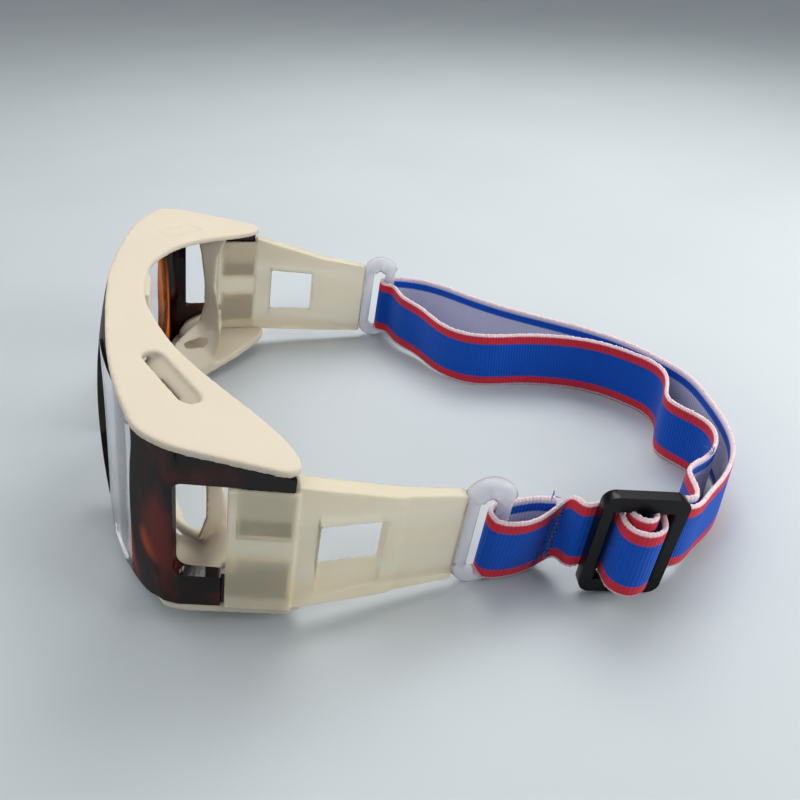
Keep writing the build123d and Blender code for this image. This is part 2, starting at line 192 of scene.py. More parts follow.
def tortoise_material():
    mat, tree = new_material("tortoise")
    coords = object_coords(tree)
    patches = noise(tree, coords, 95, 2.5, 0.5)
    base = ramp(tree, patches, TORTOISE_PATCHES)
    for centre, size, color in TORTOISE_GLOWS:
        mask = near_point(tree, coords, centre, size)
        uneven = maths(tree, "ADD", patches, GLOW_IN_DARK_PATCHES)
        wobble = maths(tree, "MULTIPLY", mask, uneven)
        strength = maths(tree, "MULTIPLY", wobble, GLOW_GAIN, clamp=True)
        base = mix_color(tree, strength, base, color)
    fine = bump(tree, noise(tree, coords, 900, 2, 0.5), 0.03, 0.0002)
    body = node(tree, "ShaderNodeBsdfPrincipled", **{
        "Roughness": 0.35, "IOR": 1.12, "Specular IOR Level": 0.1,
    })
    link(tree, base, body.inputs["Base Color"])
    link(tree, fine, body.inputs["Normal"])
    polish = node(tree, "ShaderNodeBsdfGlossy", Roughness=0.08)
    link(tree, fine, polish.inputs["Normal"])
    blend = node(tree, "ShaderNodeMixShader", Fac=POLISH_SHARE)
    link(tree, body.outputs[0], blend.inputs[1])
    link(tree, polish.outputs[0], blend.inputs[2])
    output(tree, blend.outputs[0])
    return mat


def liner_material():
    mat, tree = new_material("soft_liner")
    coords = object_coords(tree)
    broad = noise(tree, coords, 30, 3, 0.5)
    base = mix_color(tree, broad, (0.59, 0.52, 0.41), (0.64, 0.57, 0.455))
    shader = node(tree, "ShaderNodeBsdfPrincipled", **{
        "Roughness": 0.62, "IOR": 1.45, "Specular IOR Level": 0.32,
        "Subsurface Weight": 0.12, "Subsurface Scale": 0.002,
    })
    shader.inputs["Subsurface Radius"].default_value = (1.0, 0.7, 0.4)
    link(tree, base, shader.inputs["Base Color"])
    fine, coarse = noise(tree, coords, 1400, 2, 0.6), noise(tree, coords, 260, 2, 0.5)
    grain = maths(tree, "ADD", fine, coarse)
    link(tree, bump(tree, grain, 0.10, 0.0002), shader.inputs["Normal"])
    output(tree, shader.outputs[0])
    return mat


# share of the see-through shader in the arms at each height above the goggles' base
# line, millimetres: the clip is milkier at its head and foot
MILKY_BANDS = (
    (12.0, 0.40), (14.2, 0.42), (15.4, 0.66), (23.0, 0.66), (25.0, 0.56), (31.5, 0.58),
    (33.0, 0.68), (36.8, 0.68), (38.4, 0.46), (44.5, 0.42),
)
BAND_SPAN = 60.0                      # height that the whole ramp stands for


def goggle_height(tree, coords):
    """Height above the goggles' own base line, millimetres."""
    dot = node(tree, "ShaderNodeVectorMath", operation="DOT_PRODUCT")
    link(tree, coords, dot.inputs[0])
    dot.inputs[1].default_value = (0, SIN_TIP / MM, COS_TIP / MM)
    return maths(tree, "ADD", dot.outputs["Value"], ORIGIN[1] * SIN_TIP - DROP * COS_TIP)


def frosted_material(name, tint, body, see_through, haze, ior, gloss, milky=None):
    """Cloudy plastic: a scattering body mixed with blurred see-through.

    milky, if given, lists (height, see-through share) in place of the constant share.
    """
    mat, tree = new_material(name)
    coords = object_coords(tree)
    broad = noise(tree, coords, 45, 3, 0.5)
    base = mix_color(tree, broad, tuple(c * 0.95 for c in body), body)
    solid = node(tree, "ShaderNodeBsdfPrincipled", **{
        "Roughness": gloss, "IOR": 1.45, "Specular IOR Level": 0.4,
        "Subsurface Weight": 0.35, "Subsurface Scale": 0.003,
    })
    solid.inputs["Subsurface Radius"].default_value = (1.0, 0.9, 0.7)
    link(tree, base, solid.inputs["Base Color"])
    link(tree, bump(tree, noise(tree, coords, 1000, 2, 0.6), 0.06, 0.0002), solid.inputs["Normal"])
    clear = node(tree, "ShaderNodeBsdfRefraction", Roughness=haze, IOR=ior)
    clear.inputs["Color"].default_value = (*tint, 1)
    blend = node(tree, "ShaderNodeMixShader", Fac=see_through)
    if milky:
        height = maths(tree, "DIVIDE", goggle_height(tree, coords), BAND_SPAN)
        stops = [(z / BAND_SPAN, (share, share, share)) for z, share in milky]
        clearness = ramp(tree, height, stops)
        link(tree, clearness, blend.inputs[0])
    link(tree, solid.outputs[0], blend.inputs[1])
    link(tree, clear.outputs[0], blend.inputs[2])
    output(tree, blend.outputs[0])
    return mat


def lens_material():
    mat, tree = new_material("clear_lens")
    coords = object_coords(tree)
    haze = noise(tree, coords, 60, 2, 0.5)
    tint = mix_color(tree, haze, (0.90, 0.89, 0.93), (0.95, 0.95, 0.97))
    shader = node(tree, "ShaderNodeBsdfPrincipled", **{
        "Roughness": 0.03, "IOR": 1.22, "Transmission Weight": 1.0,
    })
    link(tree, tint, shader.inputs["Base Color"])
    fine = noise(tree, coords, 220, 1, 0.5)
    link(tree, bump(tree, fine, 0.01, 0.0002), shader.inputs["Normal"])
    output(tree, shader.outputs[0])
    return mat


def slider_material():
    mat, tree = new_material("black_plastic")
    coords = object_coords(tree)
    shade = noise(tree, coords, 140, 3, 0.5)
    base = mix_color(tree, shade, (0.0025, 0.0025, 0.003), (0.005, 0.005, 0.006))
    rough = maths(tree, "MULTIPLY_ADD", shade, 0.12, 0.22)
    shader = node(tree, "ShaderNodeBsdfPrincipled", **{"IOR": 1.4, "Specular IOR Level": 0.28})
    link(tree, base, shader.inputs["Base Color"])
    link(tree, rough, shader.inputs["Roughness"])
    link(tree, bump(tree, noise(tree, coords, 700, 2, 0.5), 0.05, 0.0002), shader.inputs["Normal"])
    output(tree, shader.outputs[0])
    return mat


BLUE = (0.003, 0.085, 0.52)
RED = (0.66, 0.030, 0.055)
PALE = (0.86, 0.66, 0.70)
LILAC = (0.60, 0.60, 0.74)
# stripes by distance from the nearer edge, as a share of the webbing's width
FRONT_STRIPES = [
    (0.0, PALE), (0.028, PALE), (0.045, RED), (0.165, RED), (0.185, BLUE), (0.5, BLUE)]
BACK_STRIPES = [
    (0.0, PALE), (0.06, LILAC), (0.085, BLUE), (0.19, BLUE), (0.215, LILAC), (0.5, LILAC)]
SELVEDGE_TONES = [(0.3, (0.66, 0.40, 0.44)), (0.6, (0.82, 0.70, 0.72))]
RAGGED = 0.035                        # how far a stripe's border wanders, share of width
RIB_PITCH = 0.95                      # cross ribs, millimetres
WARP_COUNT = 26                       # warp threads across the width


def webbing_material(name, stripes=None):
    """Woven elastic; without stripes it is the worn white and pink of the selvedge.

    The UV map runs in millimetres along the webbing and from 0 to 1 across it.
    """
    mat, tree = new_material(name)
    uv = tree.nodes.new("ShaderNodeUVMap")
    uv.uv_map = "webbing"
    split = tree.nodes.new("ShaderNodeSeparateXYZ")
    link(tree, uv.outputs[0], split.inputs[0])
    along, across = split.outputs[0], split.outputs[1]
    coords = object_coords(tree)
    fuzz = noise(tree, coords, 2600, 3, 0.7)
    if stripes:
        ragged = maths(tree, "MULTIPLY_ADD", fuzz, RAGGED, -RAGGED / 2)
        from_middle = maths(tree, "ABSOLUTE", maths(tree, "SUBTRACT", across, 0.5))
        from_edge = maths(tree, "SUBTRACT", 0.5, from_middle)
        color = ramp(tree, maths(tree, "ADD", from_edge, ragged), stripes)
    else:
        color = ramp(tree, fuzz, SELVEDGE_TONES)
    ribs = maths(tree, "SINE", maths(tree, "MULTIPLY", along, 2 * math.pi / RIB_PITCH))
    warps = maths(tree, "SINE", maths(tree, "MULTIPLY", across, 2 * math.pi * WARP_COUNT))
    weave = maths(tree, "MULTIPLY_ADD", ribs, 0.5, maths(tree, "MULTIPLY", warps, 0.28))
    height = maths(tree, "MULTIPLY_ADD", fuzz, 1.3, weave)
    # painted shade: the colour is darkened where the weave lies low, in the grooves between ribs
    # and threads, along with random tone from the fuzz noise
    shade = maths(tree, "MULTIPLY_ADD", height, 0.09, 0.90, clamp=True)
    base = mix_color(tree, 1.0, color, shade, blend="MULTIPLY")
    shader = node(tree, "ShaderNodeBsdfPrincipled", **{
        "Roughness": 0.85, "Sheen Weight": 0.08, "Sheen Roughness": 0.5,
        "Specular IOR Level": 0.15,
    })
    link(tree, base, shader.inputs["Base Color"])
    link(tree, bump(tree, height, 0.5, 0.0002), shader.inputs["Normal"])
    output(tree, shader.outputs[0])
    return mat


def thread_material(name, color):
    mat, tree = new_material(name)
    coords = object_coords(tree)
    twist = noise(tree, coords, 5200, 2, 0.6)
    base = mix_color(tree, twist, tuple(c * 0.7 for c in color), color)
    shader = node(tree, "ShaderNodeBsdfPrincipled", **{"Roughness": 0.7, "Sheen Weight": 0.3})
    link(tree, base, shader.inputs["Base Color"])
    output(tree, shader.outputs[0])
    return mat


# =====================================================================
# moulded pieces: the CAD bodies with their edges rounded off
# =====================================================================
def link_object(name, mesh, mats):
    """The mesh as an object in the scene, with these material slots."""
    made = bpy.data.objects.new(name, mesh)
    SCENE.collection.objects.link(made)
    mesh.materials.clear()
    for mat in mats:
        mesh.materials.append(mat)
    return made


# ---- the brow shelf's upper face, the same as in the CAD model ----
SHELF_TOP = 60.8                      # height at its foremost point
SHELF_FRONT = -7.5
SHELF_SLOPE = 0.18                    # fall towards the back
SHELF_CROWN = 1900                    # it droops by x * x / SHELF_CROWN sideways

# ---- floors under the two brow vents ----
VENT_CENTRE = (44.5, 9.3)
VENT_TURN = math.radians(31)
VENT_REACH = 11                       # half length of a floor
VENT_SIDE = 3.4                       # half width of a floor
# start and end along the vent, and the floor's outer edge there; the middle span
# stops short and leaves the near vent open
VENT_SPANS = (
    (-VENT_REACH, -3.5, -VENT_SIDE), (-3.7, 5.0, -0.6), (4.8, VENT_REACH, -VENT_SIDE),
)
VENT_LIP = 0.35                       # depth of a floor's inner edge below the shelf
VENT_FALLS = ((1, 4.4), (-1, 0.7))    # side, and how much deeper the outer edge lies
VENT_FLOOR = 1.5                      # thickness
BOX_FACES = (
    (0, 2, 4, 6), (7, 5, 3, 1), (0, 1, 3, 2), (2, 3, 5, 4), (4, 5, 7, 6), (6, 7, 1, 0),
)

# ---- sheets from the cheek pads into the walls of the side rails ----
PAD_EDGE_OUTLINE = (
    (52, 11), (58, 8.2), (68.0, 11.5), (68.4, 19.6), (64.6, 20.2), (64.5, 23.0), (52, 23.0),
)
PAD_EDGE_FRONT = (8.5, 13.8)          # depth and height where the sheet starts
PAD_EDGE_RISE = 0.45                  # rise towards the back
PAD_EDGE_WALL = 2.4


def shelf_top(x, y):
    """Height of the brow shelf's upper face."""
    return SHELF_TOP - x * x / SHELF_CROWN - SHELF_SLOPE * (y - SHELF_FRONT)


def vent_floors():
    """Sloping floor under each brow vent; the near one is open along part of its edge."""
    verts, faces = [], []
    for side, fall in VENT_FALLS:
        for start, end, outer in VENT_SPANS:
            outer = outer if side > 0 else -VENT_SIDE
            base = len(verts)
            for u, v in ((start, outer), (end, outer), (end, VENT_SIDE), (start, VENT_SIDE)):
                x = VENT_CENTRE[0] + u * math.cos(VENT_TURN) - v * math.sin(VENT_TURN)
                y = VENT_CENTRE[1] + u * math.sin(VENT_TURN) + v * math.cos(VENT_TURN)
                depth = VENT_LIP + (VENT_SIDE - v) / (2 * VENT_SIDE) * fall
                for down in (0, VENT_FLOOR):
                    z = shelf_top(x, y) - depth - down
                    verts.append(tuple(goggle_point(side * x, y, z)))
            for face in BOX_FACES:
                order = face if side > 0 else face[::-1]
                faces.append(tuple(base + k for k in order))
    return verts, faces


def pad_edges():
    """Sheet between each cheek pad and the side rail; it ends inside the rail's wall."""
    verts, faces = [], []
    count = len(PAD_EDGE_OUTLINE)
    front_y, front_z = PAD_EDGE_FRONT
    for side in (1, -1):
        base = len(verts)
        for down in (0, PAD_EDGE_WALL):
            for x, y in PAD_EDGE_OUTLINE:
                z = front_z + (y - front_y) * PAD_EDGE_RISE - down
                verts.append(tuple(goggle_point(side * x, y, z)))
        rows = [tuple(range(count)), tuple(range(2 * count - 1, count - 1, -1))]
        rows += [(k, k + count, (k + 1) % count + count, (k + 1) % count) for k in range(count)]
        for face in rows:
            order = face if side > 0 else face[::-1]
            faces.append(tuple(base + k for k in order))
    return verts, faces


def liner_extras():
    """Vent floors and pad edges, as one list of closed shells."""
    verts, faces = vent_floors()
    more, more_faces = pad_edges()
    faces += [tuple(k + len(verts) for k in face) for face in more_faces]
    return verts + more, faces


def joined_mesh(mesh, verts, faces):
    """The mesh with more closed shells added to it."""
    old = [tuple(v.co) for v in mesh.vertices]
    old_faces = [tuple(p.vertices) for p in mesh.polygons]
    made = bpy.data.meshes.new(mesh.name + "_joined")
    shifted = [tuple(k + len(old) for k in face) for face in faces]
    made.from_pydata(old + verts, [], old_faces + shifted)
    return made


def rounded_copy(name, cad_node, voxel, passes, mat, body, extra=None):
    """Stands in for a CAD node: its shape remeshed finely and relaxed to soft edges.

    voxel is the mesh size in millimetres, passes the rounds of smoothing, and extra
    the corners and faces of further shells that are merged in.
    """
    mesh = NODES[cad_node].data.copy()
    if extra:
        mesh = joined_mesh(mesh, *extra)
    source = bpy.data.objects.new("source_" + name, mesh)
    SCENE.collection.objects.link(source)
    weld = source.modifiers.new("weld", "WELD")
    weld.merge_threshold = 1e-6
    remesh = source.modifiers.new("remesh", "REMESH")
    remesh.mode = "VOXEL"
    remesh.voxel_size = voxel * MM
    remesh.use_smooth_shade = True
    relax = source.modifiers.new("relax", "SMOOTH")
    relax.factor = 0.5
    relax.iterations = passes
    graph = bpy.context.evaluated_depsgraph_get()
    mesh = bpy.data.meshes.new_from_object(source.evaluated_get(graph))
    bpy.data.objects.remove(source)
    made = link_object(name, mesh, [mat])
    for polygon in mesh.polygons:
        polygon.use_smooth = True
        polygon.material_index = 0
    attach(made, body)
    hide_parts(cad_node)


def shown_node(cad_node, mat):
    """A hard CAD node shown as it is, in this material."""
    shown = NODES[cad_node]
    shown.data.materials.clear()
    shown.data.materials.append(mat)
    return shown


def bevelled_node(cad_node, width, mat):
    """A hard CAD node shown with its sharp edges broken."""
    shown = shown_node(cad_node, mat)
    weld = shown.modifiers.new("weld", "WELD")
    weld.merge_threshold = 2e-6
    bevel = shown.modifiers.new("bevel", "BEVEL")
    bevel.width = width * MM
    bevel.segments = 3
    bevel.limit_method = "ANGLE"
    bevel.angle_limit = math.radians(35)
    bevel.harden_normals = True


def tube_mesh(name, points, radii, mats, closed=False, sides=14, flatten=1.0,
              across=(1.0, 0.13, 0.07)):
    """Tube of varying radius along a list of points; flatten squeezes it along across."""
    pts = np.array(points, float)
    count = len(pts)
    verts, faces = [], []
    for i in range(count):
        ahead = pts[(i + 1) % count] if closed or i < count - 1 else pts[i]
        behind = pts[i - 1] if closed or i > 0 else pts[i]
        tangent = ahead - behind
        tangent /= np.linalg.norm(tangent)
        side = np.array(across, float)
        side = side - tangent * (side @ tangent)
        side /= np.linalg.norm(side)
        other = np.cross(tangent, side)
        for k in range(sides):
            a = 2 * math.pi * k / sides
            spoke = side * math.cos(a) * flatten + other * math.sin(a)
            verts.append(pts[i] + radii[i] * spoke)
    rings = count if closed else count - 1
    for i in range(rings):
        j = (i + 1) % count
        for k in range(sides):
            m = (k + 1) % sides
            faces.append((i * sides + k, i * sides + m, j * sides + m, j * sides + k))
    if not closed:
        faces.append(tuple(range(sides))[::-1])
        faces.append(tuple((count - 1) * sides + k for k in range(sides)))
    mesh = bpy.data.meshes.new(name)
    mesh.from_pydata([tuple(v) for v in verts], [], faces)
    for polygon in mesh.polygons:
        polygon.use_smooth = len(polygon.vertices) == 4
    return link_object(name, mesh, mats)


# ---- strap rings: middle line of the moulded loop ----
RING_X = 65.9
RING_FRONT = 77.3
RING_BACK = 85.4
RING_LOW = 13.2
RING_HIGH = 40.4
RING_CORNER = 4.0
RING_CORNER_STEPS = 8
RING_SPACING = 0.8                    # between cross-sections
RING_BAR_RADIUS = 1.85
RING_HEAD = (37.5, 2.9)               # thicker above this height, and its radius
RING_FOOT = (15.5, 2.3)               # thicker below this height, and its radius
RING_FLATNESS = 0.86


def ring_radius(z):
    """Radius of the ring's section at a height, metres."""
    if z > RING_HEAD[0]:
        return RING_HEAD[1] * MM
    if z < RING_FOOT[0]:
        return RING_FOOT[1] * MM
    return RING_BAR_RADIUS * MM


def ring_piece(name, side, mat, body):
    """Moulded strap ring: a soft-cornered loop, thick at its head and foot."""
    points, radii = [], []
    front, back = RING_FRONT + RING_CORNER, RING_BACK - RING_CORNER
    low, high = RING_LOW + RING_CORNER, RING_HIGH - RING_CORNER
    for cy, cz, start in ((back, high, 0), (front, high, 90), (front, low, 180), (back, low, 270)):
        for step in range(RING_CORNER_STEPS + 1):
            a = math.radians(start + step * 90 / RING_CORNER_STEPS)
            y, z = cy + RING_CORNER * math.cos(a), cz + RING_CORNER * math.sin(a)
            points.append(goggle_point(side * RING_X, y, z))
            radii.append(ring_radius(z))
    dense, fat = [], []
    for i, point in enumerate(points):
        following = points[(i + 1) % len(points)]
        gap = np.linalg.norm(following - point)
        steps = max(1, int(gap / (RING_SPACING * MM)))
        for k in range(steps):
            dense.append(point + (following - point) * k / steps)
            fat.append(radii[i] + (radii[(i + 1) % len(radii)] - radii[i]) * k / steps)
    made = tube_mesh(name, dense, fat, [mat], closed=True, sides=18,
                     flatten=RING_FLATNESS, across=(1, 0, 0))
    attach(made, body)
    return made


# =====================================================================
# webbing
# =====================================================================
WIDTH = 20.0
THICK = 1.25
SLIDER_CENTRE = (77.0, 118.0, 15.9)   # as in the CAD model, like its heading and tip
SLIDER_HEADING = math.radians(9.0)
SLIDER_TIP = math.radians(6.0)
BAR_Y = 85.2                          # middle of the ring's rear bar, goggle axes
BAR_Z = 25.3


# A station of the webbing is x, y, middle height, lean back and lean outwards, in
# millimetres on the table's axes and degrees.
def slider_station(outward, along, lower=0.0):
    """Station given in the slider's own directions."""
    x = SLIDER_CENTRE[0] + outward * math.cos(SLIDER_HEADING) + along * math.sin(SLIDER_HEADING)
    y = SLIDER_CENTRE[1] - outward * math.sin(SLIDER_HEADING) + along * math.cos(SLIDER_HEADING)
    z = SLIDER_CENTRE[2] - along * math.sin(SLIDER_TIP) - lower
    return (x, y, z, math.degrees(SLIDER_TIP), 0)


def ring_station(side, outward, behind, lower=0.0, lean_out=0.0):
    """Station beside the rear bar of a strap ring."""
    y = BAR_Y * COS_TIP + BAR_Z * SIN_TIP + behind
    z = BAR_Z * COS_TIP - BAR_Y * SIN_TIP + DROP - behind * SIN_TIP - lower
    return (side * (RING_X + outward), y, z, TIP_BACK, lean_out)


LYING = WIDTH / 2 + 0.35              # middle height where the webbing stands on the table
NEAR_LOOP = [
    ring_station(1, -1.9, 14.5), ring_station(1, -2.5, 9.0), ring_station(1, -2.65, 3.5, 1),
    ring_station(1, -2.6, 0, 1.5), ring_station(1, -1.8, -2.3, 1.8),
    ring_station(1, 0, -3.0, 2, 2), ring_station(1, 1.8, -2.3, 2.2, 4),
    ring_station(1, 2.6, 0, 2.4, 5), ring_station(1, 2.9, 3.5, 2.2, 6),
    ring_station(1, 2.1, 8.5, 1.6, 5), ring_station(1, -0.1, 13.6, 0.8, 2),
]
TO_SLIDER = [(67.8, 105.2, 15.0, 8, 0), (72.2, 106.8, 16.2, 7, 0)]
OVER_SLIDER_IN = [
    slider_station(-2.7, -9.6), slider_station(-2.55, -7.2), slider_station(-2.1, -5.6),
    slider_station(0.2, -5.0), slider_station(3.9, -4.5, 0.5), slider_station(6.3, -0.2, 1.0),
]
OVER_SLIDER_OUT = [
    slider_station(4.1, 4.3, 0.6), slider_station(0.2, 5.0), slider_station(-2.1, 5.7),
    slider_station(-2.55, 7.4), slider_station(-2.7, 10.0),
    (75.6, 132.5, 13.8, 5, 0), (70.6, 140.5, 12.0, 3, 0), (64.0, 149.5, LYING, 0, 0),
]
BACK_RUN = [
    (55.0, 158.5, LYING, 0, 0), (43.9, 163.8, LYING, 0, 0), (30.0, 166.6, LYING, 0, 0),
    (17.0, 167.2, LYING, 0, 0), (5.0, 163.6, LYING, 0, 0), (-7.0, 157.6, LYING, 0, 0),
    (-25.0, 142.0, LYING, 0, 0), (-37.0, 129.3, LYING, 0, 0), (-50.0, 117.0, 10.7, 2, 0),
    (-62.0, 105.5, 11.6, 5, 0),
]
FAR_LOOP = [
    (-67.6, 96.8, 12.0, 8, 0), ring_station(-1, 2.6, 3.0, 0.8),
    ring_station(-1, 2.55, 0, 1), ring_station(-1, 1.75, -2.3, 1.2),
    ring_station(-1, 0, -2.95, 1.4), ring_station(-1, -1.8, -2.3, 1.5),
    ring_station(-1, -3.0, 0, 1.5), (-59.5, 89.6, 12.0, 8, 0), (-53.0, 91.0, 11.8, 6, 0),
]
INNER_RUN = [
    (-45.5, 95.2, 11.3, 4, 0), (-33.5, 99.8, 10.7, 2, 0), (-25.5, 105.5, LYING, 0, 0),
    (-21.0, 113.0, LYING, 0, 0), (-19.0, 124.0, LYING, 0, 0), (-15.0, 138.0, LYING, 0, 0),
    (-8.2, 149.5, LYING, 0, 0), (0.5, 157.0, LYING, 0, 0), (10.5, 161.5, LYING, 0, 0),
    (19.0, 159.2, LYING, 0, 0), (28.0, 154.8, LYING, 0, 0), (40.0, 159.3, LYING, 0, 0),
    (49.5, 156.8, LYING, 0, 0), (55.5, 149.5, LYING, 0, 0),
]
SEWN_LOOP = [
    (61.0, 141.0, 12.0, 3, 0), slider_station(-6.3, 15.0), slider_station(-6.2, 8.5),
    slider_station(-5.4, 4.2), slider_station(-3.7, 1.4, -0.3),
    slider_station(-2.2, -0.9, -0.6), slider_station(-0.2, -2.9, -0.8),
    slider_station(2.4, -2.6, -1.2), slider_station(4.2, -0.2, -1.3),
    slider_station(2.6, 2.5, -1.2), slider_station(-0.3, 3.1, -0.8),
    slider_station(-2.4, 3.4, -0.4), slider_station(-3.6, 4.8), slider_station(-4.4, 7.5),
    slider_station(-4.6, 12.0),
]
ROUTE = (
    NEAR_LOOP, TO_SLIDER, OVER_SLIDER_IN, OVER_SLIDER_OUT,
    BACK_RUN, FAR_LOOP, INNER_RUN, SEWN_LOOP,
)
STEP = 0.5                            # between places along the route


def cubic_through(knots, values, at):
    """Natural cubic spline through values at the knots, read at the places in at."""
    n = len(knots)
    h = np.diff(knots)
    matrix = np.zeros((n, n))
    right = np.zeros((n, values.shape[1]))
    matrix[0, 0] = matrix[-1, -1] = 1
    slopes = np.diff(values, axis=0) / h[:, None]
    for i in range(1, n - 1):
        matrix[i, i - 1:i + 2] = h[i - 1], 2 * (h[i - 1] + h[i]), h[i]
        right[i] = 3 * (slopes[i] - slopes[i - 1])
    c = np.linalg.solve(matrix, right)
    b = slopes - h[:, None] * (2 * c[:-1] + c[1:]) / 3
    d = np.diff(c, axis=0) / (3 * h[:, None])
    place = np.clip(np.searchsorted(knots, at, side="right") - 1, 0, n - 2)
    t = (at - knots[place])[:, None]
    return values[place] + b[place] * t + c[place] * t ** 2 + d[place] * t ** 3


def running_length(points):
    """Straight-line length from the first point up to each point."""
    gaps = np.linalg.norm(np.diff(points[:, :3], axis=0), axis=1)
    return np.concatenate([[0], np.cumsum(gaps)])


def webbing_path():
    """Stations' places along the route, evenly spaced places, and the path at those."""
    stations = np.array([station for group in ROUTE for station in group], float)
    knots = running_length(stations)
    at = np.arange(0, knots[-1], STEP)
    return knots, at, cubic_through(knots, stations, at)


KNOTS, PLACES, PATH = webbing_path()
LENGTHS = running_length(PATH)        # true length along the smooth path


def frames_along():
    """Middle line, direction through the thickness and upright direction at each place."""
    tangent = np.gradient(PATH[:, :3], axis=0)
    front = np.stack([tangent[:, 1], -tangent[:, 0], np.zeros(len(PATH))], 1)
    front /= np.linalg.norm(front, axis=1)[:, None]
    lean, out = np.radians(PATH[:, 3]), np.radians(PATH[:, 4])
    upright = np.stack([np.sin(out), np.sin(lean), np.cos(lean) * np.cos(out)], 1)
    upright /= np.linalg.norm(upright, axis=1)[:, None]
    return PATH[:, :3], front, upright


MIDDLE, FRONT, UPRIGHT = frames_along()
ACROSS = 22                           # mesh strips over the width
EDGE_NOISE = np.random.default_rng(5).normal(0, 1, (len(PATH), 2))  # upper, lower edge
EDGE_FRAY = 0.10                      # typical wander of the selvedge
THINS_FROM = 0.88                     # share of the half width where the edge thins out
THINS_OVER = 0.12
THINS_BY = 0.45
HALF_STEP = 0.26                      # just over half of STEP, against rounding
FRONT_SLOT, BACK_SLOT, EDGE_SLOT = 0, 1, 2


def strip_slot(k):
    """Material slot of one strip around the webbing's section."""
    if k < ACROSS:
        return FRONT_SLOT
    return EDGE_SLOT if k in (ACROSS, 2 * ACROSS + 1) else BACK_SLOT


def webbing_piece(name, first, last, mats):
    """A stretch of webbing between two places along the route, and its length in metres."""
    picked = np.where((PLACES >= first - HALF_STEP) & (PLACES <= last + HALF_STEP))[0]
    verts, uvs = [], []
    shares = np.linspace(-1, 1, ACROSS + 1)
    loop = [(v, 1) for v in shares] + [(v, -1) for v in shares[::-1]]
    for i in picked:
        for v, side in loop:
            thinning = 1 - THINS_BY * max(0, (abs(v) - THINS_FROM) / THINS_OVER) ** 2
            level = WIDTH / 2 * v
            if abs(v) == 1:
                level += EDGE_FRAY * EDGE_NOISE[i, 0 if v > 0 else 1] * v
            point = MIDDLE[i] + FRONT[i] * side * THICK / 2 * thinning + UPRIGHT[i] * level
            verts.append(tuple(table_point(*point)))
            uvs.append((LENGTHS[i], (v + 1) / 2))
    per = len(loop)
    faces, slots = [], []
    for row in range(len(picked) - 1):
        for k in range(per):
            m = (k + 1) % per
            a, b = row * per, (row + 1) * per
            faces.append((a + k, b + k, b + m, a + m))
            slots.append(strip_slot(k))
    for row in (0, len(picked) - 1):
        ring = [row * per + k for k in range(per)]
        faces.append(tuple(ring if row == 0 else ring[::-1]))
        slots.append(EDGE_SLOT)
    mesh = bpy.data.meshes.new(name)
    mesh.from_pydata(verts, [], faces)
    layer = mesh.uv_layers.new(name="webbing")
    cap_edges = {key for polygon in list(mesh.polygons)[-2:] for key in polygon.edge_keys}
    for edge in mesh.edges:
        edge.use_edge_sharp = edge.key in cap_edges
    for polygon in mesh.polygons:
        polygon.use_smooth = len(polygon.vertices) == 4
        for loop_index, vertex in zip(polygon.loop_indices, polygon.vertices):
            layer.data[loop_index].uv = uvs[vertex]
    made = link_object(name, mesh, mats)
    for polygon, slot in zip(mesh.polygons, slots):
        polygon.material_index = slot
    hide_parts("elastic_strap")
    length = (LENGTHS[picked[-1]] - LENGTHS[picked[0]]) * MM
    return made, length


def end_of(group):
    """Place along the route of a group's last station."""
    count = 0
    for each in ROUTE:
        count += len(each)
        if each is group:
            return KNOTS[count - 1]
    raise ValueError("not a group of the route")


def cut_after(group):
    """End of a group, moved to the nearest whole step so that the pieces meet there."""
    return round(end_of(group) / STEP) * STEP


def make_webbing():
    """One length of webbing, cut where its pieces follow different bodies."""
    mats = [webbing_material("webbing_front", FRONT_STRIPES),
            webbing_material("webbing_back", BACK_STRIPES),
            webbing_material("webbing_selvedge")]
    seam = cut_after(NEAR_LOOP)
    crown = cut_after(OVER_SLIDER_IN)
    leaving = cut_after(OVER_SLIDER_OUT)
    before_ring = cut_after(BACK_RUN)
    after_ring = cut_after(FAR_LOOP)
    returning = cut_after(INNER_RUN)
    end = PLACES[-1]

    near, near_length = webbing_piece("webbing_near_ring", 0, seam, mats)
    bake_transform(near)
    into, into_length = webbing_piece("webbing_into_slider", seam, crown, mats)
    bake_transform(into)
    out, out_length = webbing_piece("webbing_out_of_slider", crown, leaving, mats)
    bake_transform(out)
    back, back_length = webbing_piece("webbing_back_run", leaving, before_ring, mats)
    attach(back, "goggle_front")
    far, far_length = webbing_piece("webbing_far_ring", before_ring, after_ring, mats)
    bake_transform(far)
    inner, inner_length = webbing_piece("webbing_inner_run", after_ring, returning, mats)
    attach(inner, "goggle_front")
    sewn, sewn_length = webbing_piece("webbing_sewn_loop", returning, end, mats)
    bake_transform(sewn)


THREAD_SIDES = 5
THREAD_STEPS = 5
THREAD_RADIUS = 0.11
TUFT_SPREAD = 0.8                     # half size of the patch that the ends stand on


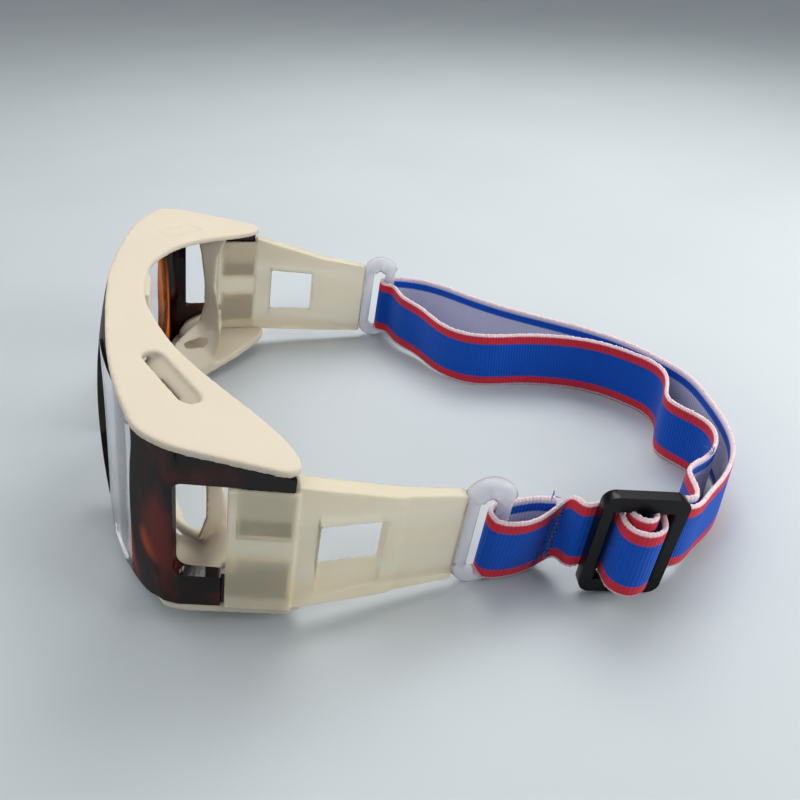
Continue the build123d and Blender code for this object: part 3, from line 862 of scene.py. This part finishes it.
def tuft(name, centre, count, reach, mat):
    """Loose ends of sewing thread standing out of a seam."""
    verts, faces = [], []
    sides = THREAD_SIDES
    for _ in range(count):
        shift = np.array([random.uniform(-TUFT_SPREAD, TUFT_SPREAD) for _ in range(3)])
        root = np.array(centre) + shift
        aim = np.array([random.uniform(-1, 1), random.uniform(-1, 1), random.uniform(0.2, 1.3)])
        curl = np.array([random.uniform(-1, 1) for _ in range(3)])
        base = len(verts)
        for step in range(THREAD_STEPS + 1):
            t = step / THREAD_STEPS
            point = root + aim * reach * t + curl * reach * 0.5 * t * t
            for k in range(sides):
                a = 2 * math.pi * k / sides
                ring = np.array([math.cos(a), math.sin(a), 0]) * THREAD_RADIUS
                verts.append(tuple(table_point(*(point + ring))))
        for step in range(THREAD_STEPS):
            for k in range(sides):
                m = (k + 1) % sides
                a, b = base + step * sides, base + (step + 1) * sides
                faces.append((a + k, a + m, b + m, b + k))
        faces.append(tuple(base + k for k in range(sides))[::-1])
        faces.append(tuple(base + THREAD_STEPS * sides + k for k in range(sides)))
    mesh = bpy.data.meshes.new(name)
    mesh.from_pydata(verts, [], faces)
    made = link_object(name, mesh, [mat])
    return made


STITCH_TURNS = 26
STITCH_REACH = 0.9                    # share of the webbing's width that is stitched
STITCH_SWAY = 0.8                     # half width of the zigzag
STITCH_RADIUS = 0.17
STITCH_LIFT = 0.03                    # height of the thread's middle above the face


def stitches(name, along, mat):
    """A bar of zigzag stitching across the front of the webbing at one place."""
    index = int(np.argmin(np.abs(PLACES - along)))
    points = []
    for k in range(STITCH_TURNS + 1):
        level = WIDTH / 2 * (-STITCH_REACH + 2 * STITCH_REACH * k / STITCH_TURNS)
        sway = STITCH_SWAY if k % 2 else -STITCH_SWAY
        i = index + int(round(sway / STEP))
        points.append(table_point(*(
            MIDDLE[i] + FRONT[i] * (THICK / 2 + STITCH_LIFT) + UPRIGHT[i] * level)))
    made = tube_mesh(name, points, [STITCH_RADIUS * MM] * len(points), [mat], sides=6)
    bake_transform(made)


def make_threads():
    """Stitching on both sides of the near seam, and loose ends there and at the fold."""
    thread = thread_material("blue_thread", (0.008, 0.06, 0.38))
    seam = end_of(NEAR_LOOP)
    stitches("stitching_near_ring", seam - 1.6, thread)
    stitches("stitching_near_ring_second", seam + 2.4, thread)
    near_ends = tuft("thread_near_ring", (66.4, 101.6, 24.3), 6, 1.0, thread)
    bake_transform(near_ends)
    fold_ends = tuft("thread_fold", (54.4, 152.5, 20.6), 9, 1.7, thread)
    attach(fold_ends, "goggle_front")


# =====================================================================
# light, floor, camera
# =====================================================================
FLOOR_HALF = 12.0                     # metres
LOW_TARGET = (0, 0, 0.02)
# area lights: name, place, target, size (all metres), power in watts, colour
AREA_LIGHTS = (
    ("key", (-0.35, 0.22, 0.62), LOW_TARGET, (0.50, 0.40), 3.9, (1.0, 0.985, 0.96)),
    ("side", (0.45, 0.55, 0.45), LOW_TARGET, (0.25, 0.25), 1.7, (0.97, 0.98, 1.0)),
    ("front", (-0.10, -0.65, 0.35), LOW_TARGET, (0.30, 0.30), 0.8, (1, 1, 1)),
    ("inside", (0.12, 0.42, 0.16), (-0.03, -0.04, 0.02), (0.22, 0.12), 0.9, (1.0, 0.97, 0.92)),
    ("strip", (0.30, -0.42, 0.40), (0.06, -0.07, 0.03), (0.03, 0.40), 0.5, (1, 1, 1)),
)
SUN_POWER = 0.75
SUN_SPREAD = 50                       # degrees
SUN_LEAN = (18, -22)                  # degrees about X and Y
SKY = (0.86, 0.93, 1.0)
SKY_POWER = 0.20


def make_floor():
    """Plain pale floor under the goggles."""
    mesh = bpy.data.meshes.new("floor")
    half = FLOOR_HALF
    mesh.from_pydata([(-half, -half, 0), (half, -half, 0), (half, half, 0), (-half, half, 0)],
                     [], [(0, 1, 2, 3)])
    mat, tree = new_material("floor")
    coords = object_coords(tree)
    base = mix_color(tree, noise(tree, coords, 9, 4, 0.5), (0.47, 0.51, 0.54), (0.53, 0.57, 0.59))
    shader = node(tree, "ShaderNodeBsdfPrincipled", **{
        "Roughness": 0.8, "Specular IOR Level": 0.2,
    })
    link(tree, base, shader.inputs["Base Color"])
    output(tree, shader.outputs[0])
    floor = link_object("floor", mesh, [mat])


def area_light(name, place, target, size, power, color):
    """Rectangular light that faces its target."""
    data = bpy.data.lights.new(name, "AREA")
    data.shape = "RECTANGLE"
    data.size, data.size_y = size
    data.energy = power
    data.color = color
    made = bpy.data.objects.new(name, data)
    SCENE.collection.objects.link(made)
    made.location = place
    made.rotation_euler = (Vector(target) - Vector(place)).to_track_quat("-Z", "Y").to_euler()


def make_lights():
    """Soft studio light: five areas, a broad sun from above and a dim sky."""
    SCENE.view_settings.view_transform = "Standard"
    for light in AREA_LIGHTS:
        area_light(*light)
    sun = bpy.data.objects.new("overhead", bpy.data.lights.new("overhead", "SUN"))
    sun.data.energy, sun.data.angle = SUN_POWER, math.radians(SUN_SPREAD)
    sun.rotation_euler = (math.radians(SUN_LEAN[0]), math.radians(SUN_LEAN[1]), 0)
    SCENE.collection.objects.link(sun)
    world = bpy.data.worlds.new("studio")
    SCENE.world = world
    world.use_nodes = True
    background = world.node_tree.nodes["Background"]
    background.inputs["Color"].default_value = (*SKY, 1)
    background.inputs["Strength"].default_value = SKY_POWER


# ---- camera: place on the table's axes in millimetres, then degrees and millimetres ----
CAMERA_PLACE = (189.45, 36.04, 141.58)
CAMERA_DOWN = 33.69                   # below the horizon
CAMERA_YAW = 12.76                    # turned from -X towards +Y
CAMERA_ROLL = 0.33
CAMERA_LENS = 33.34
CAMERA_SENSOR = 36
CAMERA_CLIP = (0.01, 20)              # metres


def make_camera():
    data = bpy.data.cameras.new("camera")
    data.sensor_width = CAMERA_SENSOR
    data.lens = CAMERA_LENS
    data.clip_start, data.clip_end = CAMERA_CLIP
    camera = bpy.data.objects.new("camera", data)
    SCENE.collection.objects.link(camera)
    down, yaw, roll = (math.radians(v) for v in (CAMERA_DOWN, CAMERA_YAW, CAMERA_ROLL))
    level = math.cos(down)
    ahead = Vector((-level * math.cos(yaw), level * math.sin(yaw), -math.sin(down)))
    right = ahead.cross(Vector((0, 0, 1))).normalized()
    up = right.cross(ahead)
    x_axis = right * math.cos(roll) + up * math.sin(roll)
    y_axis = up * math.cos(roll) - right * math.sin(roll)
    turn = Matrix((x_axis, y_axis, -ahead)).transposed().to_4x4()
    camera.matrix_world = Matrix.Translation(Vector(table_point(*CAMERA_PLACE))) @ turn
    SCENE.camera = camera


# =====================================================================
# assembly
# =====================================================================
def main():
    tortoise = tortoise_material()
    liner = liner_material()
    frosted = frosted_material(
        "frosted_arm", tint=(0.97, 0.95, 0.89), body=(0.86, 0.77, 0.58), see_through=0.58,
        haze=0.32, ior=1.06, gloss=0.36, milky=MILKY_BANDS)
    clear = frosted_material(
        "clear_ring", tint=(0.95, 0.95, 0.98), body=(0.80, 0.79, 0.83), see_through=0.55,
        haze=0.20, ior=1.20, gloss=0.16)
    lens = lens_material()
    black = slider_material()

    bevelled_node("front_frame", 0.45, tortoise)
    rounded_copy("liner", "face_liner", 0.45, 14, liner, "goggle_front",
                 extra=liner_extras())
    rounded_copy("arm_left", "temple_arm_left", 0.32, 7, frosted, "left_arm")
    rounded_copy("arm_right", "temple_arm_right", 0.32, 7, frosted, "right_arm")
    bevelled_node("strap_slider", 0.7, black)
    shown_node("lens_left", lens)
    shown_node("lens_right", lens)
    for side, name in ((1, "left"), (-1, "right")):
        ring = ring_piece("ring_" + name, side, clear, name + "_arm")
        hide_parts("strap_ring_" + name)
    make_webbing()
    make_threads()
    make_floor()
    make_lights()
    make_camera()


main()
